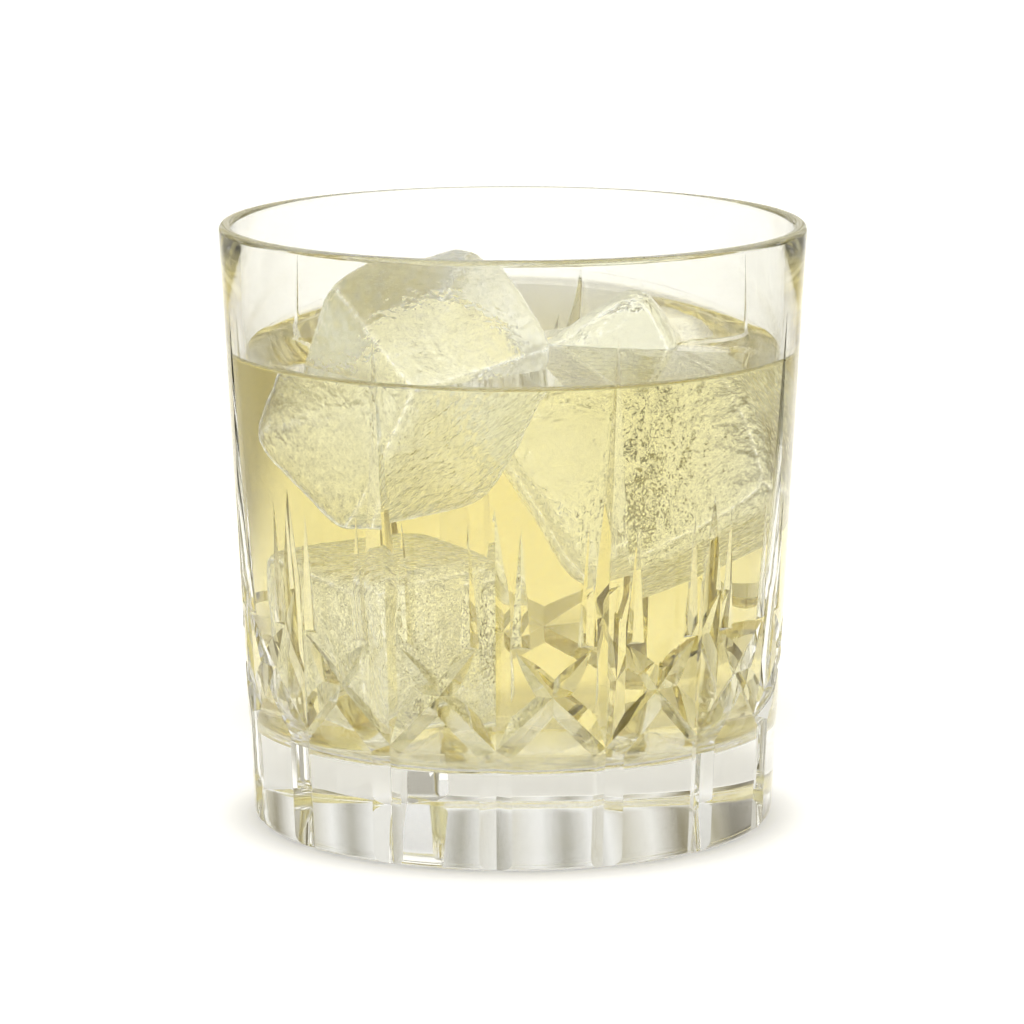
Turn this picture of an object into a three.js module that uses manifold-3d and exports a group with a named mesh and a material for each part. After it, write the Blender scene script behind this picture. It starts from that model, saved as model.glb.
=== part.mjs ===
// White negroni over ice in a cut-glass tumbler.
// Millimetres, +Z up. The origin is the middle of the underside, on the table, and -Y is the front.
import * as THREE from "three";
import { mergeVertices } from "three/addons/utils/BufferGeometryUtils.js";
import Module from "manifold-3d";

const wasm = await Module();
wasm.setup();

// Tumbler: a straight cone outside, a heavy base, a round lip
const HEIGHT = 92;
const RIM_RADIUS = 44.8;
const FOOT_RADIUS = 39.9;
const FOOT_ROUND = 2;
const LIP_THICKNESS = 2;
const FLOOR_HEIGHT = 13.8;
const BORE_FOOT_RADIUS = 36;
const BORE_ROUND = 6;
const TURN_STEPS = 90;
const ROUND_STEPS = 3;

// Cut pattern: fifteen repeats round the wall, one groove a few degrees left of the front
const REPEATS = 15;
const PITCH = 360 / REPEATS;
const FIRST_GROOVE = -3.6;
const CUT_REACH = 3.2;
const CUT_FLARE = 1.65;
const RUN_OUT = 0.3;

// Upright groove, from under the foot to a point halfway up
const GROOVE_DEPTH_FOOT = 1.6;
const GROOVE_DEPTH_TOP = 1.4;
const GROOVE_FULL_TO = 41;
const GROOVE_TIP = 55.4;

// Needle, a slim cut on every other groove that runs up past the level of the drink
const NEEDLE_FLARE = 1.28;
const NEEDLE_FOOT = 36;
const NEEDLE_DEEP_AT = 42;
const NEEDLE_DEEP = 1.52;
const NEEDLE_MID_AT = 59;
const NEEDLE_MID = 0.72;
const NEEDLE_TIP = 80.7;

// Flank cuts, a wedge on each side of a groove with a square lower end
const FLANK_TURN = 5.2;
const FLANK_FOOT = 34.3;
const FLANK_DEPTH = 0.92;
const FLANK_TIP = 53;

// Slanting cuts, which cross midway between two grooves and meet in a star on each groove
const CROSS_TURN = PITCH / 2;
const CROSS_HEIGHT = 26.5;
const CROSS_DEPTH = 1.2;
const CROSS_STEPS = 4;
const ARM_TIP_TURN = 20.4;
const ARM_TIP_HEIGHT = 34.2;
const STAR_HEIGHT = 18.3;
const STAR_DEPTH = 1.5;
const STAR_END_TURN = -3;
const STAR_END_HEIGHT = 15.8;

// Drink, and the clearance between neighbouring solids
const DRINK_LEVEL = 72.3;
const GAP = 0.3;
const WELD = 1e-4;

// Ice: two blocks that stand out of the drink, each with its middle, its turn in degrees and its size
const ICE_LEFT = {
  middle: [-14.4, -14.7, 68.6],
  turn: [37, -8, 37],
  size: [29, 25.5, 34.5],
  taper: 0.04,
};
const ICE_RIGHT = {
  middle: [15.9, 4, 57.2],
  turn: [-19, -28, -1],
  size: [32.5, 22, 34.5],
  taper: -0.03,
};
const ICE_SQUARENESS = 7;
const ICE_STEPS = 8;

const radians = THREE.MathUtils.degToRad;

// Radius of the wall outside and of the bore at a height
function wallRadius(z) {
  return THREE.MathUtils.lerp(FOOT_RADIUS, RIM_RADIUS, z / HEIGHT);
}

function boreRadius(z) {
  const share = (z - FLOOR_HEIGHT) / (HEIGHT - FLOOR_HEIGHT);
  return THREE.MathUtils.lerp(BORE_FOOT_RADIUS, RIM_RADIUS - LIP_THICKNESS, share);
}

// A geometry as a solid that can be joined and cut
function solid(geometry) {
  const bare = geometry.clone();
  bare.deleteAttribute("normal");
  bare.deleteAttribute("uv");
  const merged = mergeVertices(bare, WELD);
  return new wasm.Manifold(
    new wasm.Mesh({
      numProp: 3,
      vertProperties: new Float32Array(merged.attributes.position.array),
      triVerts: new Uint32Array(merged.index.array),
    }),
  );
}

// A solid as a named mesh with its own material
function meshOf(name, body, material) {
  const made = body.getMesh();
  const geometry = new THREE.BufferGeometry();
  geometry.setAttribute("position", new THREE.BufferAttribute(made.vertProperties, made.numProp));
  geometry.setIndex(new THREE.BufferAttribute(made.triVerts, 1));
  geometry.computeVertexNormals();
  const mesh = new THREE.Mesh(geometry, new THREE.MeshStandardMaterial(material));
  mesh.name = name;
  return mesh;
}

// A profile turned round the upright axis
function turned(profile) {
  const geometry = new THREE.LatheGeometry(profile.getPoints(ROUND_STEPS), TURN_STEPS);
  return solid(geometry.rotateX(Math.PI / 2));
}

// Wall, base and lip of the tumbler before it is cut
function tumblerBlank() {
  const lip = LIP_THICKNESS / 2;
  const lipHeight = HEIGHT - lip;
  const profile = new THREE.Path();
  profile.moveTo(0, 0);
  profile.lineTo(FOOT_RADIUS - FOOT_ROUND, 0);
  profile.quadraticCurveTo(FOOT_RADIUS, 0, wallRadius(FOOT_ROUND), FOOT_ROUND);
  profile.lineTo(RIM_RADIUS, lipHeight);
  profile.absarc(RIM_RADIUS - lip, lipHeight, lip, 0, Math.PI, false);
  profile.lineTo(boreRadius(FLOOR_HEIGHT + BORE_ROUND), FLOOR_HEIGHT + BORE_ROUND);
  profile.quadraticCurveTo(BORE_FOOT_RADIUS, FLOOR_HEIGHT, BORE_FOOT_RADIUS - BORE_ROUND, FLOOR_HEIGHT);
  profile.lineTo(0, FLOOR_HEIGHT);
  return turned(profile);
}

// A point under the wall: degrees round from the front, height, depth below the wall
function onWall(turn, z, depth) {
  const radius = wallRadius(z) - depth;
  const angle = radians(turn);
  return new THREE.Vector3(radius * Math.sin(angle), -radius * Math.cos(angle), z);
}

// The line that the bottom of a wheel cut follows, through stations of [turn, height, depth]
class CutLine extends THREE.Curve {
  constructor(stations) {
    super();
    this.stations = stations;
  }

  getSpacedPoints() {
    return this.stations.map((station) => onWall(...station));
  }

  computeFrenetFrames() {
    const points = this.getSpacedPoints();
    const last = points.length - 1;
    const frames = { tangents: [], normals: [], binormals: [] };
    this.stations.forEach(([turn], i) => {
      const ahead = points[Math.min(i + 1, last)];
      const behind = points[Math.max(i - 1, 0)];
      const tangent = ahead.clone().sub(behind).normalize();
      const outward = onWall(turn, 0, 0).normalize();
      const sideways = outward.clone().cross(tangent).normalize();
      frames.tangents.push(tangent);
      frames.normals.push(sideways);
      frames.binormals.push(tangent.clone().cross(sideways));
    });
    return frames;
  }
}

// A V-shaped wheel cut along its stations, with half the width of the V per depth
function cutter(stations, flare) {
  const section = new THREE.Shape();
  section.moveTo(0, 0);
  section.lineTo(flare * CUT_REACH, CUT_REACH);
  section.lineTo(-flare * CUT_REACH, CUT_REACH);
  section.closePath();
  return new THREE.ExtrudeGeometry(section, {
    steps: stations.length - 1,
    extrudePath: new CutLine(stations),
  });
}

// Stations from one station to the next, the depth easing out towards the far end
function eased(from, to, steps) {
  return Array.from({ length: steps }, (_, i) => {
    const share = (i + 1) / steps;
    return [
      THREE.MathUtils.lerp(from[0], to[0], share),
      THREE.MathUtils.lerp(from[1], to[1], share),
      THREE.MathUtils.lerp(from[2], to[2], share * share),
    ];
  });
}

function grooveStations() {
  return [
    [0, -RUN_OUT, GROOVE_DEPTH_FOOT],
    [0, GROOVE_FULL_TO, GROOVE_DEPTH_TOP],
    [0, GROOVE_TIP, 0],
    [0, GROOVE_TIP + RUN_OUT, -RUN_OUT],
  ];
}

function needleStations() {
  return [
    [0, NEEDLE_FOOT, GROOVE_DEPTH_TOP - RUN_OUT],
    [0, NEEDLE_DEEP_AT, NEEDLE_DEEP],
    [0, NEEDLE_MID_AT, NEEDLE_MID],
    [0, NEEDLE_TIP, 0],
    [0, NEEDLE_TIP + RUN_OUT, -RUN_OUT],
  ];
}

function flankStations(side) {
  return [
    [side * FLANK_TURN, FLANK_FOOT, FLANK_DEPTH],
    [side * FLANK_TURN, FLANK_TIP, 0],
    [side * FLANK_TURN, FLANK_TIP + RUN_OUT, -RUN_OUT],
  ];
}

function slantStations(side) {
  const end = [STAR_END_TURN, STAR_END_HEIGHT, -RUN_OUT];
  const star = [0, STAR_HEIGHT, STAR_DEPTH];
  const cross = [CROSS_TURN, CROSS_HEIGHT, CROSS_DEPTH];
  const tip = [ARM_TIP_TURN, ARM_TIP_HEIGHT, -RUN_OUT / 2];
  const run = [end, star, ...eased(star, cross, CROSS_STEPS), ...eased(cross, tip, CROSS_STEPS)];
  return run.map(([turn, z, depth]) => [side * turn, z, depth]);
}

// The tumbler with every repeat of the pattern cut
function cutTumbler() {
  const plain = [
    cutter(grooveStations(), CUT_FLARE),
    cutter(flankStations(-1), CUT_FLARE),
    cutter(flankStations(1), CUT_FLARE),
    cutter(slantStations(-1), CUT_FLARE),
    cutter(slantStations(1), CUT_FLARE),
  ];
  const needle = cutter(needleStations(), NEEDLE_FLARE);
  let body = tumblerBlank();
  for (let i = 0; i < REPEATS; i++) {
    const steps = i - (REPEATS - 1) / 2;
    const angle = radians(FIRST_GROOVE + steps * PITCH);
    const cuts = steps % 2 === 0 ? plain : [...plain, needle];
    for (const cut of cuts) {
      body = body.subtract(solid(cut.clone().rotateZ(angle)));
    }
  }
  return body;
}

// A block of ice with soft edges, a little narrower at one end, grown by a margin all round
function iceBlock({ middle, turn, size, taper }, margin) {
  const geometry = new THREE.BoxGeometry(2, 2, 2, ICE_STEPS, ICE_STEPS, ICE_STEPS);
  const place = geometry.attributes.position;
  const point = new THREE.Vector3();
  for (let i = 0; i < place.count; i++) {
    point.fromBufferAttribute(place, i);
    const spread = point.toArray().map((u) => Math.sin((u * Math.PI) / 2));
    const sum = spread.reduce((total, u) => total + Math.abs(u) ** ICE_SQUARENESS, 0);
    const reach = sum ** (-1 / ICE_SQUARENESS);
    const half = size.map((s) => s / 2 + margin);
    const narrow = 1 - Math.abs(taper) + taper * spread[2] * reach;
    place.setXYZ(
      i,
      half[0] * spread[0] * reach * narrow,
      half[1] * spread[1] * reach * narrow,
      half[2] * spread[2] * reach,
    );
  }
  const angles = new THREE.Euler(...turn.map(radians), "ZYX");
  geometry.applyMatrix4(new THREE.Matrix4().makeRotationFromEuler(angles));
  geometry.translate(...middle);
  return solid(geometry);
}

// The drink up to its level, clear of the glass and of the ice
function drinkBody() {
  const floor = FLOOR_HEIGHT + GAP;
  const corner = floor + BORE_ROUND;
  const profile = new THREE.Path();
  profile.moveTo(0, floor);
  profile.lineTo(BORE_FOOT_RADIUS - BORE_ROUND - GAP, floor);
  profile.quadraticCurveTo(BORE_FOOT_RADIUS - GAP, floor, boreRadius(corner) - GAP, corner);
  profile.lineTo(boreRadius(DRINK_LEVEL) - GAP, DRINK_LEVEL);
  profile.lineTo(0, DRINK_LEVEL);
  return turned(profile).subtract(iceBlock(ICE_LEFT, GAP)).subtract(iceBlock(ICE_RIGHT, GAP));
}

const GLASS = { color: 0xf4f6f4, roughness: 0.02, metalness: 0 };
const NEGRONI = { color: 0xe8dc9c, roughness: 0.04, metalness: 0 };
const CLEAR_ICE = { color: 0xf1efe2, roughness: 0.12, metalness: 0 };

const glassOfNegroni = new THREE.Group();
glassOfNegroni.name = "white_negroni";
glassOfNegroni.add(meshOf("tumbler", cutTumbler(), GLASS));
glassOfNegroni.add(meshOf("drink", drinkBody(), NEGRONI));
glassOfNegroni.add(meshOf("ice_left", iceBlock(ICE_LEFT, 0), CLEAR_ICE));
glassOfNegroni.add(meshOf("ice_right", iceBlock(ICE_RIGHT, 0), CLEAR_ICE));

export default glassOfNegroni;
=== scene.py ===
# %% [markdown]
# # A white negroni over ice in a cut-glass tumbler
#
# The drink is a clear, pale yellow mix poured over large blocks of ice. It stands in a heavy
# tumbler with a pattern of wheel cuts. Everything here is seen through something else, so the
# pieces are built as they lie in the real glass: a solid wall of glass, a body of drink that
# fills it, and ice that pushes the drink aside.
#
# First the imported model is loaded. It gives the frame that all the pieces share: metres, +Z up,
# with the origin in the middle of the tumbler's underside.

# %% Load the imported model
import math

import bmesh
import bpy
from mathutils import Euler, Matrix, Vector


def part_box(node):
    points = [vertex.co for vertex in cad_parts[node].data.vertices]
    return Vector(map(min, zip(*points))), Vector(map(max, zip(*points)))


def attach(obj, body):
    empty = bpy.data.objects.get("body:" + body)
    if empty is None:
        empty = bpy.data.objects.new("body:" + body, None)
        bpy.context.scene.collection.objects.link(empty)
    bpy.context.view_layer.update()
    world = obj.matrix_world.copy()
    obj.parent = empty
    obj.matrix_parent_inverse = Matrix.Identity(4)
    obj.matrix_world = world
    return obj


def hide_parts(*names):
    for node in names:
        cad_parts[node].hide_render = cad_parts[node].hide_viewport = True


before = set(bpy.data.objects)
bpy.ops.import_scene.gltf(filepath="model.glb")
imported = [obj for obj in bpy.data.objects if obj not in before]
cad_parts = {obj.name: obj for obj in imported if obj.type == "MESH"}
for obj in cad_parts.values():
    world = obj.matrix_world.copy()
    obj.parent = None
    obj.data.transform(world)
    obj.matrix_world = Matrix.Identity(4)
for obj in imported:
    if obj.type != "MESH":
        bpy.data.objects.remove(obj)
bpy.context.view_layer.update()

MM = 0.001
glass_low, glass_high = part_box("tumbler")
HEIGHT = glass_high.z / MM
RIM_RADIUS = min(glass_high.x, glass_high.y) / MM
DRINK_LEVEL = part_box("drink")[1].z / MM
print(f"tumbler {HEIGHT:.1f} mm tall, rim radius {RIM_RADIUS:.1f} mm")
print(f"drink up to {DRINK_LEVEL:.1f} mm")


# %% [markdown]
# ## Camera
#
# The photo was taken with a long lens from a little above the rim, which keeps the tumbler's
# sides nearly straight. A short lens close by could frame the glass too, but it would widen the
# rim against the foot. The distance and the tilt below make the rim and the foot come out as the
# same ellipses as in the photo.

# %% Set up the camera
CAMERA_DISTANCE = 840.5
CAMERA_HEIGHT = 200.8
CAMERA_TILT = 10.366
CAMERA_LENS = 195.65
CAMERA_SENSOR = 36
CAMERA_SHIFT = -0.0008
CAMERA_CLIP = 10

bpy.ops.object.select_all(action="DESELECT")
bpy.ops.object.camera_add(
    location=(0, -CAMERA_DISTANCE * MM, CAMERA_HEIGHT * MM),
    rotation=(math.radians(90 - CAMERA_TILT), 0, 0),
)
camera = bpy.context.object
camera.data.lens = CAMERA_LENS
camera.data.sensor_width = CAMERA_SENSOR
camera.data.shift_x = CAMERA_SHIFT
camera.data.clip_start = CAMERA_CLIP * MM
bpy.context.scene.camera = camera
print(f"camera {CAMERA_DISTANCE:.0f} mm away with a {CAMERA_LENS:.0f} mm lens")


# %% [markdown]
# ## Helpers for modelling
#
# Blender's operators act on whatever is selected, so each step first lets go of everything else.
# Round pieces are drawn as half a cross-section, a chain of edges made by extruding one point,
# and then spun round the upright axis. That is how a lathe or a glass mould makes them.

# %% Selecting, drawing a section and spinning it
WELD = 1e-6


def select_only(*objects):
    bpy.ops.object.select_all(action="DESELECT")
    for each in objects:
        each.select_set(True)
    bpy.context.view_layer.objects.active = objects[0]


def bend(start, corner, end, steps):
    """Points on a curve that leaves start towards corner and arrives at end."""
    points = []
    for i in range(1, steps + 1):
        t = i / steps
        points.append(
            tuple(
                (1 - t) ** 2 * a + 2 * t * (1 - t) * b + t**2 * c
                for a, b, c in zip(start, corner, end)
            )
        )
    return points


def spin_section(name, section, steps):
    """A closed round piece from (radius, height) points in millimetres, ends on the axis."""
    points = [Vector((radius * MM, 0, z * MM)) for radius, z in section]
    bpy.ops.object.select_all(action="DESELECT")
    bpy.ops.mesh.primitive_plane_add(size=MM, location=(0, 0, 0))
    piece = bpy.context.object
    piece.name = piece.data.name = name
    bpy.ops.object.mode_set(mode="EDIT")
    bpy.ops.mesh.merge(type="CENTER")
    bpy.ops.transform.translate(value=points[0])
    for here, there in zip(points, points[1:]):
        bpy.ops.mesh.extrude_region_move(TRANSFORM_OT_translate={"value": there - here})
    bpy.ops.mesh.select_all(action="SELECT")
    bpy.ops.mesh.spin(steps=steps, angle=math.tau, center=(0, 0, 0), axis=(0, 0, 1))
    bpy.ops.mesh.select_all(action="SELECT")
    bpy.ops.mesh.remove_doubles(threshold=WELD)
    bpy.ops.mesh.normals_make_consistent(inside=False)
    bpy.ops.object.mode_set(mode="OBJECT")
    return piece


def cut_away(piece, tool):
    """Takes the tool's shape out of the piece."""
    select_only(piece)
    modifier = piece.modifiers.new("cut", "BOOLEAN")
    modifier.operation = "DIFFERENCE"
    modifier.solver = "MANIFOLD"
    modifier.object = tool
    bpy.ops.object.modifier_apply(modifier=modifier.name)
    bpy.data.objects.remove(tool)


def triangles(piece):
    piece.data.calc_loop_triangles()
    return len(piece.data.loop_triangles)


# %% [markdown]
# ## The tumbler before it is cut
#
# The real tumbler is pressed or blown thick, with a heavy base that is clear glass right through.
# Its outside is a straight cone, the lip is fire-polished round, and the bore has a soft corner
# at the floor. A cylinder with edited rings would do for the outside, but one spun section gives
# the wall, the lip, the bore and the base as one closed body, which refraction needs.

# %% Spin the blank
FOOT_RADIUS = 39.9
FOOT_ROUND = 2
LIP_THICKNESS = 2
FLOOR_HEIGHT = 13.8
BORE_FOOT_RADIUS = 36
BORE_ROUND = 6
WALL_RINGS = 8
LIP_STEPS = 14
CORNER_STEPS = 10
TURN_STEPS = 360


def wall_radius(z):
    return FOOT_RADIUS + (RIM_RADIUS - FOOT_RADIUS) * z / HEIGHT


def bore_radius(z):
    share = (z - FLOOR_HEIGHT) / (HEIGHT - FLOOR_HEIGHT)
    return BORE_FOOT_RADIUS + (RIM_RADIUS - LIP_THICKNESS - BORE_FOOT_RADIUS) * share


def tumbler_section():
    lip = LIP_THICKNESS / 2
    lip_height = HEIGHT - lip
    corner = FLOOR_HEIGHT + BORE_ROUND
    section = [(0, 0), (FOOT_RADIUS - FOOT_ROUND, 0)]
    wall_start = (wall_radius(FOOT_ROUND), FOOT_ROUND)
    section += bend(section[-1], (FOOT_RADIUS, 0), wall_start, CORNER_STEPS)
    for i in range(1, WALL_RINGS + 1):
        z = FOOT_ROUND + (lip_height - FOOT_ROUND) * i / WALL_RINGS
        section.append((wall_radius(z), z))
    section[-1] = (RIM_RADIUS, lip_height)
    for i in range(1, LIP_STEPS + 1):
        angle = math.pi * i / LIP_STEPS
        radius = RIM_RADIUS - lip + lip * math.cos(angle)
        section.append((radius, lip_height + lip * math.sin(angle)))
    for i in range(1, WALL_RINGS + 1):
        z = lip_height + (corner - lip_height) * i / WALL_RINGS
        section.append((bore_radius(z), z))
    floor_edge = (BORE_FOOT_RADIUS - BORE_ROUND, FLOOR_HEIGHT)
    section += bend(section[-1], (BORE_FOOT_RADIUS, FLOOR_HEIGHT), floor_edge, CORNER_STEPS)
    section.append((0, FLOOR_HEIGHT))
    return section


tumbler = spin_section("tumbler_cut_glass", tumbler_section(), TURN_STEPS)
print(f"blank of {triangles(tumbler)} triangles")


# %% [markdown]
# ## Wheel cuts
#
# The pattern is cut with a wheel whose edge is a V. The glass moves along the wheel, deeper in
# the middle of a cut and shallower at its ends, so a cut ends in a point. Here the V is a small
# triangle that is extruded from station to station. A station says how far round the wall the
# bottom of the V is, how high, and how deep below the wall. Displacing the wall by a painted
# pattern would be quicker, but it can't give edges that catch the light as a wheel's do.

# %% Extrude a V along its stations
CUT_REACH = 3.2
CUT_FLARE = 1.65
RUN_OUT = 0.3


def on_wall(turn, z, depth):
    radius = (wall_radius(z) - depth) * MM
    angle = math.radians(turn)
    return Vector((radius * math.sin(angle), -radius * math.cos(angle), z * MM))


def v_corners(stations, i, flare):
    """The bottom and the two upper corners of the V at one station."""
    points = [on_wall(*station) for station in stations]
    along = (points[min(i + 1, len(points) - 1)] - points[max(i - 1, 0)]).normalized()
    outward = on_wall(stations[i][0], 0, 0).normalized()
    sideways = outward.cross(along).normalized()
    up = along.cross(sideways) * CUT_REACH * MM
    out = sideways * flare * CUT_REACH * MM
    return [points[i], points[i] + up + out, points[i] + up - out]


def wheel_cut(name, stations, flare):
    bpy.ops.object.select_all(action="DESELECT")
    bpy.ops.mesh.primitive_circle_add(vertices=3, radius=MM, fill_type="NGON")
    cut = bpy.context.object
    cut.name = cut.data.name = name
    bpy.ops.object.mode_set(mode="EDIT")
    before = None
    for i in range(len(stations)):
        corners = v_corners(stations, i, flare)
        if before:
            bpy.ops.mesh.extrude_region_move()
        shape = bmesh.from_edit_mesh(cut.data)
        moved = [v for v in shape.verts if v.select]
        for k, vertex in enumerate(moved):
            nearest = min(range(3), key=lambda n: (vertex.co - before[n]).length) if before else k
            vertex.co = corners[nearest]
        bmesh.update_edit_mesh(cut.data)
        before = corners
    bpy.ops.mesh.select_all(action="SELECT")
    bpy.ops.mesh.normals_make_consistent(inside=False)
    bpy.ops.object.mode_set(mode="OBJECT")
    return cut


def eased(start, end, steps):
    """Stations from start to end, the depth easing out towards the far end."""
    made = []
    for i in range(1, steps + 1):
        share = i / steps
        weights = (share, share, share * share)
        made.append(tuple(a + (b - a) * w for a, b, w in zip(start, end, weights)))
    return made


# %% [markdown]
# ## The pattern
#
# Fifteen upright grooves run from under the foot to a point halfway up, and every other one
# carries a slim needle that climbs past the level of the drink. A wedge with a square lower end
# flanks each groove on both sides. Lower down, slanting cuts cross between the grooves and meet
# on each groove in a star. Each cut is modelled once, at the front, and copied round the wall.
# The cuts of one kind don't touch each other, so they can be taken out together.

# %% Stations of each kind of cut
REPEATS = 15
PITCH = 360 / REPEATS
FIRST_GROOVE = -3.6
GROOVE_DEPTH_FOOT = 1.6
GROOVE_DEPTH_TOP = 1.4
GROOVE_FULL_TO = 41
GROOVE_TIP = 55.4
NEEDLE_FLARE = 2.0
NEEDLE_FOOT = 36
NEEDLE_DEEP_AT = 42
NEEDLE_DEEP = 1.52
NEEDLE_MID_AT = 59
NEEDLE_MID = 0.72
NEEDLE_TIP = 80.7
FLANK_TURN = 5.2
FLANK_FOOT = 34.3
FLANK_DEPTH = 0.92
FLANK_TIP = 53
CROSS_HEIGHT = 26.5
CROSS_DEPTH = 1.2
CROSS_STEPS = 8
ARM_TIP_TURN = 20.4
ARM_TIP_HEIGHT = 34.2
STAR_HEIGHT = 18.3
STAR_DEPTH = 1.5
STAR_END_TURN = -3
STAR_END_HEIGHT = 15.8


def groove_stations():
    return [
        (0, -RUN_OUT, GROOVE_DEPTH_FOOT),
        (0, GROOVE_FULL_TO, GROOVE_DEPTH_TOP),
        (0, GROOVE_TIP, 0),
        (0, GROOVE_TIP + RUN_OUT, -RUN_OUT),
    ]


def needle_stations():
    return [
        (0, NEEDLE_FOOT, GROOVE_DEPTH_TOP - RUN_OUT),
        (0, NEEDLE_DEEP_AT, NEEDLE_DEEP),
        (0, NEEDLE_MID_AT, NEEDLE_MID),
        (0, NEEDLE_TIP, 0),
        (0, NEEDLE_TIP + RUN_OUT, -RUN_OUT),
    ]


def flank_stations(side):
    return [
        (side * FLANK_TURN, FLANK_FOOT, FLANK_DEPTH),
        (side * FLANK_TURN, FLANK_TIP, 0),
        (side * FLANK_TURN, FLANK_TIP + RUN_OUT, -RUN_OUT),
    ]


def slant_stations(side):
    star = (0, STAR_HEIGHT, STAR_DEPTH)
    cross = (PITCH / 2, CROSS_HEIGHT, CROSS_DEPTH)
    tip = (ARM_TIP_TURN, ARM_TIP_HEIGHT, -RUN_OUT / 2)
    run = [(STAR_END_TURN, STAR_END_HEIGHT, -RUN_OUT), star]
    run += eased(star, cross, CROSS_STEPS) + eased(cross, tip, CROSS_STEPS)
    return [(side * turn, z, depth) for turn, z, depth in run]


# %% Cut every repeat into the blank
def ring_of(cut, places):
    """Copies a cut to each place round the wall and joins the copies into one tool."""
    copies = []
    for place in places:
        copy = cut.copy()
        copy.data = cut.data.copy()
        copy.data.transform(Matrix.Rotation(math.radians(FIRST_GROOVE + place * PITCH), 4, "Z"))
        bpy.context.collection.objects.link(copy)
        copies.append(copy)
    bpy.data.objects.remove(cut)
    select_only(*copies)
    bpy.ops.object.join()
    return bpy.context.object


half_round = REPEATS // 2
every_place = range(-half_round, half_round + 1)
needle_places = [place for place in every_place if place % 2]
cut_away(tumbler, ring_of(wheel_cut("grooves", groove_stations(), CUT_FLARE), every_place))
cut_away(tumbler, ring_of(wheel_cut("needles", needle_stations(), NEEDLE_FLARE), needle_places))
for side in (-1, 1):
    cut_away(tumbler, ring_of(wheel_cut("flanks", flank_stations(side), CUT_FLARE), every_place))
    cut_away(tumbler, ring_of(wheel_cut("slants", slant_stations(side), CUT_FLARE), every_place))

SHARP_FROM = math.radians(16)
select_only(tumbler)
bpy.ops.object.shade_smooth_by_angle(angle=SHARP_FROM)
print(f"tumbler cut, {triangles(tumbler)} triangles")


# %% [markdown]
# ## The drink
#
# The drink fills the bore up to its level and creeps up the glass in a small meniscus. If its
# outside stopped just short of the glass, light would cross a film of air there and the wall
# would look silvered, so the drink reaches a tenth of a millimetre into the wall. Light then goes
# from glass to drink as it does in a real glass.

# %% Spin the drink
INTO_WALL = 0.1
MENISCUS_RISE = 0.9
MENISCUS_WIDTH = 2.4
MENISCUS_STEPS = 6
DRINK_RINGS = 6
DRINK_STEPS = 180


def drink_section():
    floor = FLOOR_HEIGHT - INTO_WALL
    corner = FLOOR_HEIGHT + BORE_ROUND
    top = DRINK_LEVEL + MENISCUS_RISE
    floor_edge = (BORE_FOOT_RADIUS - BORE_ROUND, floor)
    section = [(0, floor), floor_edge]
    wall_start = (bore_radius(corner) + INTO_WALL, corner)
    section += bend(floor_edge, (BORE_FOOT_RADIUS + INTO_WALL, floor), wall_start, CORNER_STEPS)
    for i in range(1, DRINK_RINGS + 1):
        z = corner + (top - corner) * i / DRINK_RINGS
        section.append((bore_radius(z) + INTO_WALL, z))
    contact = (bore_radius(top), top)
    surface_edge = (contact[0] - MENISCUS_WIDTH, DRINK_LEVEL)
    section.append(contact)
    hollow = (contact[0] - MENISCUS_RISE / 2, DRINK_LEVEL)
    section += bend(contact, hollow, surface_edge, MENISCUS_STEPS)
    section.append((0, DRINK_LEVEL))
    return section


drink = spin_section("drink_white_negroni", drink_section(), DRINK_STEPS)
select_only(drink)
bpy.ops.object.shade_smooth_by_angle(angle=SHARP_FROM)
print(f"drink of {triangles(drink)} triangles")


# %% [markdown]
# ## Ice
#
# Each block is a cube from a tray that has begun to melt: flat faces, soft edges, one end a
# little narrower. It starts as a cube that is subdivided and pulled into a rounded block. Melting
# leaves shallow dents all over and pits along the edges, where the trapped air sits, so
# displacement modifiers add a broad relief everywhere and a finer one along the edges. Two blocks
# stand out of the drink where the solids have them, and one more lies under the surface.

# %% Model a block
ICE_SQUARENESS = 7
ICE_CUTS = 39
EDGE_FROM = 0.6
DENT_SIZE, DENT_DEPTH = 8, 0.5
PIT_SIZE, PIT_DEPTH = 2.2, 0.7
PEEL_SIZE, PEEL_DEPTH = 1.5, 0.1
RELIEF_DETAIL = 2
RELIEF_LEVEL = 0.55


def soft_step(low, high, value):
    share = min(max((value - low) / (high - low), 0), 1)
    return share * share * (3 - 2 * share)


def relief(piece, name, size, depth, group=""):
    """A displacement of the surface by a noise of the given size and depth in millimetres."""
    texture = bpy.data.textures.new(name, "CLOUDS")
    texture.noise_scale = size * MM
    texture.noise_depth = RELIEF_DETAIL
    modifier = piece.modifiers.new(name, "DISPLACE")
    modifier.texture = texture
    modifier.texture_coords = "LOCAL"
    modifier.strength = depth * MM
    modifier.mid_level = RELIEF_LEVEL
    modifier.vertex_group = group
    bpy.ops.object.modifier_apply(modifier=modifier.name)


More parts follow.
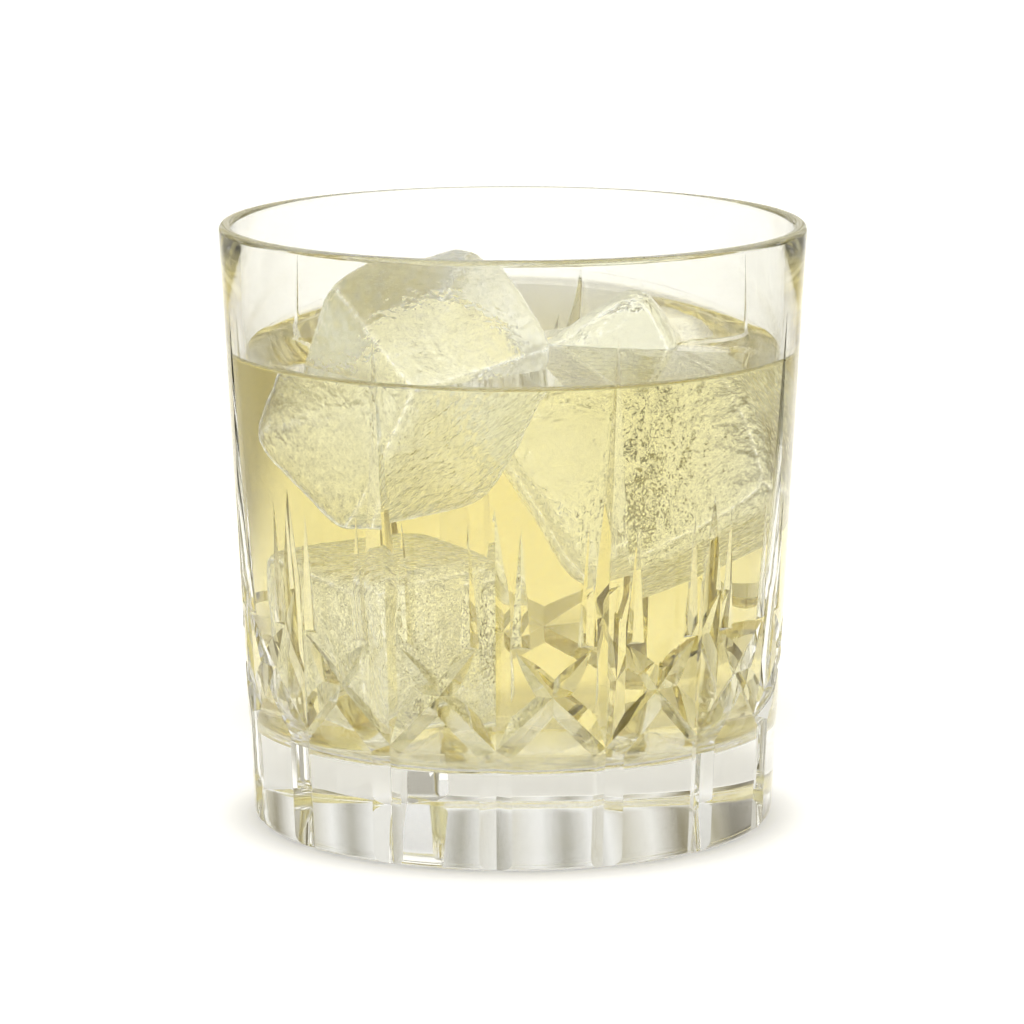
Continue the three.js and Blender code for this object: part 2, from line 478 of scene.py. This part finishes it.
def ice_block(name, middle, turn, size, taper):
    bpy.ops.object.select_all(action="DESELECT")
    bpy.ops.mesh.primitive_cube_add(size=2)
    block = bpy.context.object
    block.name = block.data.name = name
    bpy.ops.object.mode_set(mode="EDIT")
    bpy.ops.mesh.subdivide(number_cuts=ICE_CUTS)
    bpy.ops.object.mode_set(mode="OBJECT")
    edge = block.vertex_groups.new(name="edge")
    weights = []
    for vertex in block.data.vertices:
        spread = [math.sin(u * math.pi / 2) for u in vertex.co]
        reach = sum(abs(u) ** ICE_SQUARENESS for u in spread) ** (-1 / ICE_SQUARENESS)
        narrow = 1 - abs(taper) + taper * spread[2] * reach
        second = sorted(abs(u) for u in vertex.co)[1]
        weights.append(soft_step(EDGE_FROM, 1, second))
        edge.add([vertex.index], weights[-1], "REPLACE")
        halves = [side / 2 * MM for side in size]
        vertex.co = (
            halves[0] * spread[0] * reach * narrow,
            halves[1] * spread[1] * reach * narrow,
            halves[2] * spread[2] * reach,
        )
    frost = block.data.attributes.new("frost", "FLOAT", "POINT")
    frost.data.foreach_set("value", weights)
    relief(block, "dents", DENT_SIZE, DENT_DEPTH)
    relief(block, "pits", PIT_SIZE, PIT_DEPTH, "edge")
    relief(block, "peel", PEEL_SIZE, PEEL_DEPTH)
    block.rotation_euler = Euler([math.radians(angle) for angle in turn])
    block.location = Vector(middle) * MM
    bpy.ops.object.transform_apply(location=True, rotation=True, scale=True)
    bpy.ops.object.shade_smooth()
    return block


ice_left = ice_block("ice_block_left", (-14.4, -14.7, 68.6), (37, -8, 37), (29, 25.5, 34.5), 0.04)
ice_right = ice_block("ice_block_right", (15.9, 4, 57.2), (-19, -28, -1), (32.5, 22, 34.5), -0.03)
ice_low_left = ice_block("ice_block_low_left", (-14.5, -5, 31), (7, -9, 24), (25, 24, 26), 0.04)
blocks = [ice_left, ice_right, ice_low_left]
for block in blocks:
    heights = [vertex.co.z / MM for vertex in block.data.vertices]
    print(f"{block.name}: {min(heights):.1f} to {max(heights):.1f} mm high")
    print(f"{block.name}: {triangles(block)} triangles")


# %% [markdown]
# ## Room for the ice in the drink
#
# Ice pushes the drink aside, so the yellow is paler where there is ice. The drink is cut by a
# copy of each block that is a little smaller all round. The ice then reaches just into the drink,
# and no film of air lies between them.

# %% Cut the drink round the ice
INTO_DRINK = 0.08

for block in blocks:
    room = block.copy()
    room.data = block.data.copy()
    bpy.context.collection.objects.link(room)
    select_only(room)
    bpy.ops.object.mode_set(mode="EDIT")
    bpy.ops.mesh.select_all(action="SELECT")
    bpy.ops.transform.shrink_fatten(value=-INTO_DRINK * MM)
    bpy.ops.object.mode_set(mode="OBJECT")
    cut_away(drink, room)
print(f"drink cut round the ice, {triangles(drink)} triangles")


# %% [markdown]
# ## Materials
#
# Colours are written as the hex values that a colour picker shows and turned to linear light by
# one function. Another adds a node, sets its values and links its inputs, so each material below
# reads as a list of its nodes.

# %% Colour and node helpers
def linear(code):
    channels = [int(code[i : i + 2], 16) / 255 for i in (1, 3, 5)]
    light = [c / 12.92 if c <= 0.04045 else ((c + 0.055) / 1.055) ** 2.4 for c in channels]
    return (*light, 1)


def add(tree, kind, settings=None, values=None, links=None):
    """A node with its settings, the values of its inputs and the sockets linked into them."""
    made = tree.nodes.new(kind)
    for key, value in (settings or {}).items():
        setattr(made, key, value)
    inputs = {each.identifier: each for each in made.inputs}
    for key, value in (values or {}).items():
        (inputs.get(key) or made.inputs[key]).default_value = value
    for key, socket in (links or {}).items():
        tree.links.new(socket, inputs.get(key) or made.inputs[key])
    return made


def new_material(name):
    material = bpy.data.materials.new(name)
    material.use_nodes = True
    tree = material.node_tree
    tree.nodes.clear()
    output = tree.nodes.new("ShaderNodeOutputMaterial")
    place = add(tree, "ShaderNodeTexCoord").outputs["Object"]
    return material, tree, output, place


def noise(tree, place, size, detail=3):
    """A noise whose lumps are about the given size in millimetres."""
    spot = add(tree, "ShaderNodeMapping", links={"Vector": place})
    return add(
        tree,
        "ShaderNodeTexNoise",
        values={"Scale": 1 / (size * MM), "Detail": detail},
        links={"Vector": spot.outputs["Vector"]},
    )


# %% [markdown]
# ### Soda-lime glass, pressed, wheel-cut and fire-polished
#
# Clear glass with a refractive index of about 1.52 and a mirror-smooth polish, so all that the
# eye sees is bent and mirrored light. A thick wall swallows a few percent of the light, a little
# more here than there, which takes the inside of the glass just off the white of the background.

# %% Cut glass
GLASS_IOR = 1.52
CLOUD_SIZE = 25


def make_glass():
    material, tree, output, place = new_material("soda_lime_glass_cut_and_polished")
    cloud = noise(tree, place, CLOUD_SIZE, 1)
    tint = add(
        tree,
        "ShaderNodeMix",
        {"data_type": "RGBA"},
        {"A_Color": linear("#f9faf9"), "B_Color": linear("#fdfdfc")},
        {"Factor_Float": cloud.outputs["Fac"]},
    )
    surface = add(
        tree,
        "ShaderNodeBsdfPrincipled",
        values={"IOR": GLASS_IOR, "Roughness": 0, "Transmission Weight": 1},
        links={"Base Color": tint.outputs[2]},
    )
    tree.links.new(surface.outputs["BSDF"], output.inputs["Surface"])
    return material


cut_glass = make_glass()
print(f"{cut_glass.name}: {len(cut_glass.node_tree.nodes)} nodes")


# %% [markdown]
# ### White negroni, a clear mix of spirit and pale bitters
#
# The colour of a clear drink comes from its depth: a thin layer is nearly colourless and the
# middle of the glass is deep yellow. So the surface is colourless and the body of the drink
# absorbs blue light as the light goes through it. Syrupy streaks from the melting ice make the
# surface slightly uneven.

# %% White negroni
DRINK_IOR = 1.36
DRINK_DENSITY = 18.5
STREAK_SIZE, STREAK_DEPTH = 9, 0.1
STREAK_STRENGTH = 0.08


def make_negroni():
    material, tree, output, place = new_material("white_negroni_clear_liquid")
    streak = noise(tree, place, STREAK_SIZE, 0)
    bump = add(
        tree,
        "ShaderNodeBump",
        values={"Strength": STREAK_STRENGTH, "Distance": STREAK_DEPTH * MM},
        links={"Height": streak.outputs["Fac"]},
    )
    surface = add(
        tree,
        "ShaderNodeBsdfPrincipled",
        values={
            "Base Color": linear("#ffffff"),
            "IOR": DRINK_IOR,
            "Roughness": 0,
            "Transmission Weight": 1,
        },
        links={"Normal": bump.outputs["Normal"]},
    )
    body = add(
        tree,
        "ShaderNodeVolumeAbsorption",
        values={"Color": linear("#efe250"), "Density": DRINK_DENSITY},
    )
    tree.links.new(surface.outputs["BSDF"], output.inputs["Surface"])
    tree.links.new(body.outputs["Volume"], output.inputs["Volume"])
    return material


white_negroni = make_negroni()
print(f"{white_negroni.name}: {len(white_negroni.node_tree.nodes)} nodes")


# %% [markdown]
# ### Clear ice, frozen in a tray and melting
#
# Ice bends light less than glass does, about 1.31. Its faces are wet and smooth with a fine
# ripple, and its edges are pitted and full of tiny bubbles, which scatter the light and look
# frosty. A faint glow, stronger along the edges, stands for the light that the bubbles scatter.

# %% Clear ice
ICE_IOR = 1.31
RIPPLE_SIZE, RIPPLE_DEPTH = 1.9, 0.5
GRAIN_SIZE, GRAIN_DEPTH = 0.9, 0.45
WET_ROUGHNESS, FROST_ROUGHNESS = 0.02, 0.3
# The glow values below set a painted glow: faint over the faces and stronger along the edges.
DULL_FROM, GLOW_FROM, FROST_FULL = 0.1, 0.2, 0.6
FROST_GLOW = 0.35
HAZE_GLOW = 0.03


def make_ice():
    material, tree, output, place = new_material("clear_ice_melting")
    edge = add(tree, "ShaderNodeAttribute", {"attribute_name": "frost"})
    ripple = noise(tree, place, RIPPLE_SIZE, 2)
    grain = noise(tree, place, GRAIN_SIZE, 2)
    wet = add(
        tree,
        "ShaderNodeBump",
        values={"Strength": 1, "Distance": RIPPLE_DEPTH * MM},
        links={"Height": ripple.outputs["Fac"]},
    )
    patches = add(
        tree,
        "ShaderNodeMath",
        {"operation": "MULTIPLY"},
        links={0: edge.outputs["Fac"], 1: grain.outputs["Fac"]},
    )
    pitted = add(
        tree,
        "ShaderNodeBump",
        values={"Strength": 1, "Distance": GRAIN_DEPTH * MM},
        links={"Height": patches.outputs["Value"], "Normal": wet.outputs["Normal"]},
    )
    dull = add(
        tree,
        "ShaderNodeMapRange",
        values={
            "From Min": DULL_FROM,
            "From Max": FROST_FULL,
            "To Min": WET_ROUGHNESS,
            "To Max": FROST_ROUGHNESS,
        },
        links={"Value": patches.outputs["Value"]},
    )
    # Painted light: the ice glows faintly all over and more strongly on the frosty edge patches.
    painted_glow = add(
        tree,
        "ShaderNodeMapRange",
        values={
            "From Min": GLOW_FROM,
            "From Max": FROST_FULL,
            "To Min": HAZE_GLOW,
            "To Max": FROST_GLOW,
        },
        links={"Value": patches.outputs["Value"]},
    )
    water = add(
        tree,
        "ShaderNodeBsdfPrincipled",
        values={
            "Base Color": linear("#f1f4f8"),
            "IOR": ICE_IOR,
            "Transmission Weight": 1,
            "Emission Color": linear("#f3f4fa"),
        },
        links={
            "Normal": pitted.outputs["Normal"],
            "Roughness": dull.outputs["Result"],
            "Emission Strength": painted_glow.outputs["Result"],
        },
    )
    tree.links.new(water.outputs["BSDF"], output.inputs["Surface"])
    return material


clear_ice = make_ice()
print(f"{clear_ice.name}: {len(clear_ice.node_tree.nodes)} nodes")


# %% [markdown]
# ## Putting the pieces on the model
#
# Every piece rides on the model's one body. The remade tumbler, the drink and the two upper
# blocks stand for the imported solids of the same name, and the sunken block is an addition.

# %% Dress the model
def dress(piece, material, node=None):
    piece.data.materials.clear()
    piece.data.materials.append(material)
    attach(piece, "root")
    if node:
        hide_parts(node)


dress(tumbler, cut_glass, "tumbler")
dress(drink, white_negroni, "drink")
dress(ice_left, clear_ice, "ice_left")
dress(ice_right, clear_ice, "ice_right")
dress(ice_low_left, clear_ice)


# %% [markdown]
# ## Stage and light
#
# Glass has hardly any colour of its own: it shows what is round it. In the photo the background
# right behind the tumbler is white, and the walls, the lip and the cuts, which bend the light
# from further out, are a warm grey. So the floor is a white board with a painted glow, a pool of
# painted light that fans out in the camera's direction only, and a dim, warm room with a bright
# ceiling closes in from the sides. A room that is white all round would make the glass vanish.
# The painted glow is dimmed under the foot by a painted contact shadow, and in a patch behind the
# tumbler by a painted shadow, where a real tumbler would keep the light off the board.

# %% White floor with a painted glow and painted shadows
FLOOR_SIZE = 12
FLOOR_DROP = 0.1
POOL_GLOW = 0.74
POOL_INNER, POOL_OUTER = 0.12, 0.25
SHADE_BEHIND = 75
SHADE_INNER, SHADE_OUTER = 20, 60
SHADE_DEPTH = 0.5
# Reach and depth of the painted contact shadow under and round the foot.
CONTACT_SHADOW_INNER, CONTACT_SHADOW_OUTER = 40, 45.5
CONTACT_SHADOW_DEPTH = 0.62
TONE_SIZE = 60
TONE_FROM, TONE_TO = 0.3, 0.7
TONE_DARKEST = 0.97

bpy.ops.object.select_all(action="DESELECT")
bpy.ops.mesh.primitive_plane_add(size=FLOOR_SIZE, location=(0, 0, -FLOOR_DROP * MM))
floor = bpy.context.object
floor.name = floor.data.name = "studio_floor"
white_board, tree, output, place = new_material("white_board_painted_glow_and_shade")
spot = add(tree, "ShaderNodeSeparateXYZ", links={"Vector": place})
sideways = add(tree, "ShaderNodeMath", {"operation": "ABSOLUTE"}, links={0: spot.outputs["X"]})
away = add(
    tree,
    "ShaderNodeMath",
    {"operation": "ADD"},
    {1: CAMERA_DISTANCE * MM},
    {0: spot.outputs["Y"]},
)
spread = add(
    tree,
    "ShaderNodeMath",
    {"operation": "DIVIDE"},
    links={0: sideways.outputs["Value"], 1: away.outputs["Value"]},
)
# Painted light: the board glows in a pool painted as a wedge that fans out from below the camera
# and fades towards its sides.
pool = add(
    tree,
    "ShaderNodeMapRange",
    {"interpolation_type": "SMOOTHSTEP"},
    {"From Min": POOL_INNER, "From Max": POOL_OUTER, "To Min": POOL_GLOW, "To Max": 0},
    {"Value": spread.outputs["Value"]},
)
# Painted shadow: the glow is dimmed in a round patch behind the tumbler.
near = add(
    tree,
    "ShaderNodeVectorMath",
    {"operation": "DISTANCE"},
    {1: (0, SHADE_BEHIND * MM, 0)},
    {0: place},
)
painted_shadow_behind = add(
    tree,
    "ShaderNodeMapRange",
    {"interpolation_type": "SMOOTHSTEP"},
    {
        "From Min": SHADE_INNER * MM,
        "From Max": SHADE_OUTER * MM,
        "To Min": SHADE_DEPTH,
        "To Max": 1,
    },
    {"Value": near.outputs["Value"]},
)
# Painted contact shadow: the glow is dimmed under the foot and in a thin ring round it.
from_axis = add(tree, "ShaderNodeVectorMath", {"operation": "LENGTH"}, links={0: place})
contact = add(
    tree,
    "ShaderNodeMapRange",
    values={
        "From Min": CONTACT_SHADOW_INNER * MM,
        "From Max": CONTACT_SHADOW_OUTER * MM,
        "To Min": CONTACT_SHADOW_DEPTH,
        "To Max": 1,
    },
    links={"Value": from_axis.outputs["Value"]},
)
shaded = add(
    tree,
    "ShaderNodeMath",
    {"operation": "MULTIPLY"},
    links={0: contact.outputs["Result"], 1: painted_shadow_behind.outputs["Result"]},
)
lit = add(
    tree,
    "ShaderNodeMath",
    {"operation": "MULTIPLY"},
    links={0: pool.outputs["Result"], 1: shaded.outputs["Value"]},
)
tone = noise(tree, place, TONE_SIZE)
shade = add(
    tree,
    "ShaderNodeMapRange",
    values={"From Min": TONE_FROM, "From Max": TONE_TO, "To Min": TONE_DARKEST, "To Max": 1},
    links={"Value": tone.outputs["Fac"]},
)
board = add(
    tree,
    "ShaderNodeMix",
    {"data_type": "RGBA", "blend_type": "MULTIPLY"},
    {"Factor_Float": 1, "A_Color": linear("#cbc7b6")},
    {"B_Color": shade.outputs["Result"]},
)
surface = add(
    tree,
    "ShaderNodeBsdfPrincipled",
    values={"Roughness": 0.9, "Specular IOR Level": 0.1, "Emission Color": linear("#ffffff")},
    links={"Base Color": board.outputs[2], "Emission Strength": lit.outputs["Value"]},
)
tree.links.new(surface.outputs["BSDF"], output.inputs["Surface"])
floor.data.materials.append(white_board)
print("floor in place")

# %% Warm room with a bright ceiling
ROOM_TONES = [
    (0, "#d8d5c9"),
    (4, "#f2f1ec"),
    (8, "#a9a698"),
    (12, "#f2f1ec"),
    (17, "#c2bda9"),
    (23, "#efede5"),
    (30, "#7d7452"),
    (37, "#bfb99f"),
    (48, "#564d2e"),
    (70, "#605737"),
    (95, "#989074"),
    (130, "#c2bdaa"),
    (155, "#bab6a8"),
    (180, "#b0aca0"),
]
CEILING_FROM, CEILING_TO = 0.2, 0.8
GLASS_BOUNCES = 32
NOISE_LIMIT = 0.08
FEWEST_SAMPLES = 12

world = bpy.data.worlds.new("warm_room")
bpy.context.scene.world = world
world.use_nodes = True
tree = world.node_tree
tree.nodes.clear()
direction = add(tree, "ShaderNodeTexCoord").outputs["Generated"]
parts = add(tree, "ShaderNodeSeparateXYZ", links={"Vector": direction})
aside = add(tree, "ShaderNodeMath", {"operation": "ABSOLUTE"}, links={0: parts.outputs["X"]})
turned = add(
    tree,
    "ShaderNodeMath",
    {"operation": "ARCTAN2"},
    links={0: aside.outputs["Value"], 1: parts.outputs["Y"]},
)
share = add(
    tree,
    "ShaderNodeMath",
    {"operation": "DIVIDE"},
    {1: math.pi},
    {0: turned.outputs["Value"]},
)
walls = add(tree, "ShaderNodeValToRGB", links={"Fac": share.outputs["Value"]})
stops = walls.color_ramp.elements
while len(stops) < len(ROOM_TONES):
    stops.new(0.5)
for stop, (angle, code) in zip(stops, ROOM_TONES):
    stop.position = angle / 180
    stop.color = linear(code)
overhead = add(
    tree,
    "ShaderNodeMapRange",
    {"interpolation_type": "SMOOTHSTEP"},
    {"From Min": CEILING_FROM, "From Max": CEILING_TO},
    {"Value": parts.outputs["Z"]},
)
room = add(
    tree,
    "ShaderNodeMix",
    {"data_type": "RGBA"},
    {"B_Color": linear("#ffffff")},
    {"Factor_Float": overhead.outputs["Result"], "A_Color": walls.outputs["Color"]},
)
glow = add(tree, "ShaderNodeBackground", links={"Color": room.outputs[2]})
add(tree, "ShaderNodeOutputWorld", links={"Surface": glow.outputs["Background"]})

scene = bpy.context.scene
scene.view_settings.view_transform = "Standard"
scene.cycles.max_bounces = GLASS_BOUNCES
scene.cycles.transmission_bounces = GLASS_BOUNCES
scene.cycles.glossy_bounces = GLASS_BOUNCES
scene.cycles.adaptive_threshold = NOISE_LIMIT
scene.cycles.adaptive_min_samples = FEWEST_SAMPLES
scene.cycles.diffuse_bounces = 1
print("room in place")
